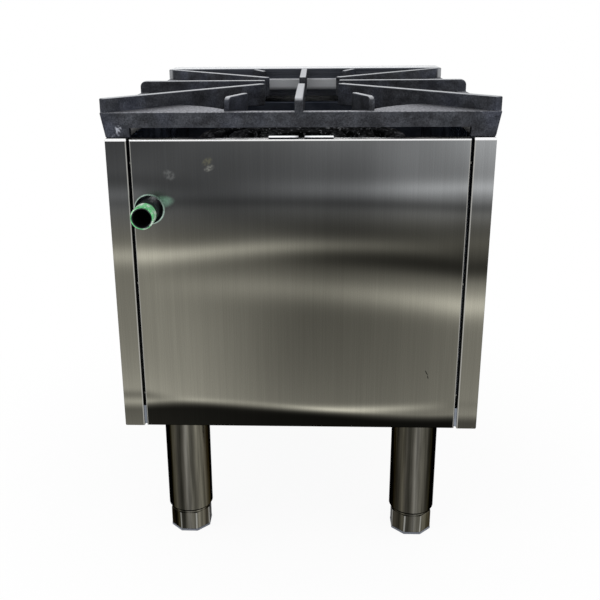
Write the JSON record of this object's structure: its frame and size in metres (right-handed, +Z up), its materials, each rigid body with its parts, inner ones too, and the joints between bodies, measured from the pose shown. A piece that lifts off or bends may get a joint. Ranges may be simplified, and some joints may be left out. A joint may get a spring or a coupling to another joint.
{
  "type": "stock pot range",
  "caption": "Square steel gas range on short legs, with a heavy cast-iron grate over a ring burner, front knobs, a crumb tray and a rear gas pipe.",
  "frame": {"origin": "on the floor, under the middle of the overall box of the feet, body, pipe end and knobs", "axes": "+Z up; the front with the knobs faces -Y and the gas pipe leaves the back along +Y; +X is to the right as seen from the front"},
  "size_m": [0.4656, 0.665, 0.61],
  "materials": {
    "stainless": "vertical brush, satin",
    "stainless_front": "horizontal brush, satin",
    "galvanised": "galvanised sheet",
    "zinc_fastener": "zinc plated",
    "cast_iron": "rough sand cast, tops worn bright",
    "burner_iron": "rough sand cast, heat darkened",
    "pipe_steel": "black steel pipe",
    "brass": "machined",
    "aluminium": "drawn tube",
    "polished_leg": "polished stainless tube",
    "knob_black": "moulded, semi-gloss",
    "bezel": "polished plate",
    "pad_plastic": "moulded grey-blue",
    "tape": "wound thread tape, green"
  },
  "bodies": {
    "chassis": {"side_panel_right": "stainless", "side_panel_left": "stainless", "rear_panel": "stainless", "rear_upright_right": "galvanised", "rear_upright_left": "galvanised", "rear_panel_screws": "zinc_fastener", "control_panel": "stainless_front", "lower_front_panel": "stainless_front", "front_panel_screws": "zinc_fastener", "landing_ledge": "stainless_front", "base_rail_rear": "galvanised", "base_rail_front": "galvanised", "leg_plate_bolts": "zinc_fastener", "tray_runner_right": "galvanised", "tray_runner_left": "galvanised", "side_liner_right": "galvanised", "side_liner_left": "galvanised", "front_heat_shield": "galvanised", "burner_outer": "burner_iron", "burner_inner": "burner_iron", "burner_bar_front": "galvanised", "burner_bar_middle": "galvanised", "burner_bracket_rear": "galvanised", "supply_pipe": "pipe_steel", "thread_tape": "tape", "pipe_elbow": "pipe_steel", "manifold_pipe": "pipe_steel", "manifold_cap": "pipe_steel", "manifold_hangers": "galvanised", "orifice_spuds": "brass", "pilot_valve": "brass", "pilot_tube": "aluminium", "pilot_burner": "galvanised", "leg_inserts": "zinc_fastener", "gas_valve_outer": "brass", "knob_bezel_outer": "bezel", "gas_valve_inner": "brass", "knob_bezel_inner": "bezel", "leg_front_left": "polished_leg", "leg_front_right": "polished_leg", "leg_rear_left": "polished_leg", "leg_rear_right": "polished_leg"},
    "grate": {"grate": "cast_iron"},
    "crumb_tray": {"crumb_tray": "galvanised", "crumb_tray_front": "stainless_front", "crumb_tray_pull": "stainless_front"},
    "knob_outer": {"knob_outer": "knob_black", "valve_stem_outer": "zinc_fastener"},
    "air_shutter_outer": {"air_shutter_outer": "galvanised"},
    "knob_inner": {"knob_inner": "knob_black", "valve_stem_inner": "zinc_fastener"},
    "air_shutter_inner": {"air_shutter_inner": "galvanised"},
    "foot_front_left": {"foot_front_left": "polished_leg", "foot_pad_front_left": "pad_plastic"},
    "foot_front_right": {"foot_front_right": "polished_leg", "foot_pad_front_right": "pad_plastic"},
    "foot_rear_left": {"foot_rear_left": "polished_leg", "foot_pad_rear_left": "pad_plastic"},
    "foot_rear_right": {"foot_rear_right": "polished_leg", "foot_pad_rear_right": "pad_plastic"}
  },
  "joints": [
    {"name": "grate_lift", "type": "slide", "parent": "chassis", "child": "grate", "axis": [0, 0, 1], "range_m": [0, 0.15]},
    {"name": "tray_slide", "type": "slide", "parent": "chassis", "child": "crumb_tray", "axis": [0, -1, 0], "range_m": [0, 0.45]},
    {"name": "knob_turn_outer", "type": "hinge", "parent": "chassis", "child": "knob_outer", "pos_m": [-0.056, -0.2875, 0.45], "axis": [0, 1, 0], "range_deg": [0, 90]},
    {"name": "air_shutter_turn_outer", "type": "hinge", "parent": "chassis", "child": "air_shutter_outer", "pos_m": [-0.056, -0.225, 0.45], "axis": [0, 1, 0], "range_deg": [0, 55]},
    {"name": "knob_turn_inner", "type": "hinge", "parent": "chassis", "child": "knob_inner", "pos_m": [0.056, -0.2875, 0.45], "axis": [0, 1, 0], "range_deg": [0, 90]},
    {"name": "air_shutter_turn_inner", "type": "hinge", "parent": "chassis", "child": "air_shutter_inner", "pos_m": [0.056, -0.225, 0.45], "axis": [0, 1, 0], "range_deg": [0, 55]},
    {"name": "foot_height_front_left", "type": "slide", "parent": "chassis", "child": "foot_front_left", "axis": [0, 0, -1], "range_m": [0, 0.025]},
    {"name": "foot_height_front_right", "type": "slide", "parent": "chassis", "child": "foot_front_right", "axis": [0, 0, -1], "range_m": [0, 0.025]},
    {"name": "foot_height_rear_left", "type": "slide", "parent": "chassis", "child": "foot_rear_left", "axis": [0, 0, -1], "range_m": [0, 0.025]},
    {"name": "foot_height_rear_right", "type": "slide", "parent": "chassis", "child": "foot_rear_right", "axis": [0, 0, -1], "range_m": [0, 0.025]}
  ]
}
